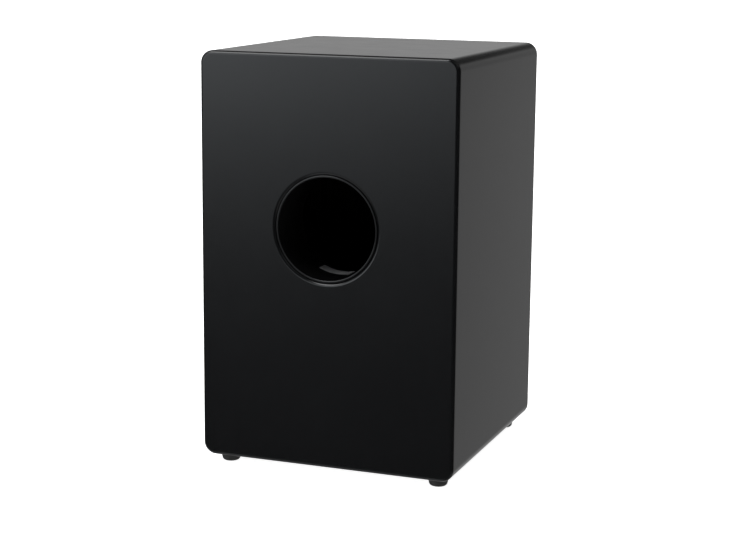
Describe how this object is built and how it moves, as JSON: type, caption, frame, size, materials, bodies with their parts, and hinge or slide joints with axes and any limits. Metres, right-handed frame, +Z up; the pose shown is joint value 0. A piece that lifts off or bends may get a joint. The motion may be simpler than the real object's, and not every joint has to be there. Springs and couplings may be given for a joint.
{
  "type": "cajon",
  "caption": "Box drum with a thin screwed playing plate, snare wire sets on screw tensioners inside, a round ported rear panel, rounded long edges and rubber feet.",
  "frame": {"origin": "on the floor plane under the middle of the box", "axes": "+Z up, the playing plate faces -Y, the sound port faces +Y, +X to the player's right when the plate is seen from the front"},
  "size_m": [0.3, 0.3, 0.471],
  "materials": {
    "body_lacquer": "satin black lacquer on plywood",
    "plate_lacquer": "satin black lacquer on thin plywood",
    "black_batten": "matt black stained softwood",
    "port_plastic": "glossy black moulded plastic",
    "foot_rubber": "dark grey-black rubber",
    "black_screw": "black oxide steel",
    "zinc_steel": "zinc-plated steel",
    "snare_steel": "bright steel wire",
    "carriage_nylon": "black nylon"
  },
  "bodies": {
    "root": {"bottom_panel": "body_lacquer", "front_left_foot": "foot_rubber", "front_left_foot_screw": "zinc_steel", "front_plate": "plate_lacquer", "front_right_foot": "foot_rubber", "front_right_foot_screw": "zinc_steel", "left_bush": "zinc_steel", "left_front_rail": "black_batten", "left_guide": "zinc_steel", "left_rear_rail": "black_batten", "left_side_panel": "body_lacquer", "left_snare_wires": "snare_steel", "left_upper_clip": "zinc_steel", "lower_front_rail": "black_batten", "lower_left_corner_block": "black_batten", "lower_rear_rail": "black_batten", "lower_right_corner_block": "black_batten", "plate_screw_01": "black_screw", "plate_screw_02": "black_screw", "plate_screw_03": "black_screw", "plate_screw_04": "black_screw", "plate_screw_05": "black_screw", "plate_screw_06": "black_screw", "plate_screw_07": "black_screw", "plate_screw_08": "black_screw", "plate_screw_09": "black_screw", "plate_screw_10": "black_screw", "plate_screw_11": "black_screw", "plate_screw_12": "black_screw", "plate_screw_13": "black_screw", "plate_screw_14": "black_screw", "port_screw_1": "black_screw", "port_screw_2": "black_screw", "port_screw_3": "black_screw", "port_screw_4": "black_screw", "port_tube": "port_plastic", "rear_left_foot": "foot_rubber", "rear_left_foot_screw": "zinc_steel", "rear_panel": "body_lacquer", "rear_right_foot": "foot_rubber", "rear_right_foot_screw": "zinc_steel", "right_bush": "zinc_steel", "right_front_rail": "black_batten", "right_guide": "zinc_steel", "right_rear_rail": "black_batten", "right_side_panel": "body_lacquer", "right_snare_wires": "snare_steel", "right_upper_clip": "zinc_steel", "top_panel": "body_lacquer", "upper_front_rail": "black_batten", "upper_left_corner_block": "black_batten", "upper_rear_rail": "black_batten", "upper_right_corner_block": "black_batten"},
    "left_screw_body": {"left_tension_screw": "black_screw"},
    "left_carriage_body": {"left_carriage": "carriage_nylon", "left_lower_clip": "zinc_steel"},
    "right_screw_body": {"right_tension_screw": "black_screw"},
    "right_carriage_body": {"right_carriage": "carriage_nylon", "right_lower_clip": "zinc_steel"}
  },
  "joints": [
    {"name": "left_screw_turn", "type": "hinge", "parent": "root", "child": "left_screw_body", "pos_m": [-0.062, -0.1364, 0.0115], "axis": [0, 0, 1], "range_deg": [0, 1800]},
    {"name": "left_carriage_slide", "type": "slide", "parent": "root", "child": "left_carriage_body", "axis": [0, 0, -1], "range_m": [0, 0.004], "deforming": ["left_snare_wires"]},
    {"name": "right_screw_turn", "type": "hinge", "parent": "root", "child": "right_screw_body", "pos_m": [0.062, -0.1364, 0.0115], "axis": [0, 0, 1], "range_deg": [0, 1800]},
    {"name": "right_carriage_slide", "type": "slide", "parent": "root", "child": "right_carriage_body", "axis": [0, 0, -1], "range_m": [0, 0.004], "deforming": ["right_snare_wires"]}
  ],
  "couplings": [
    {"joint": "left_screw_turn", "follows": "left_carriage_slide", "rad_per_m": 7854},
    {"joint": "right_screw_turn", "follows": "right_carriage_slide", "rad_per_m": 7854}
  ]
}
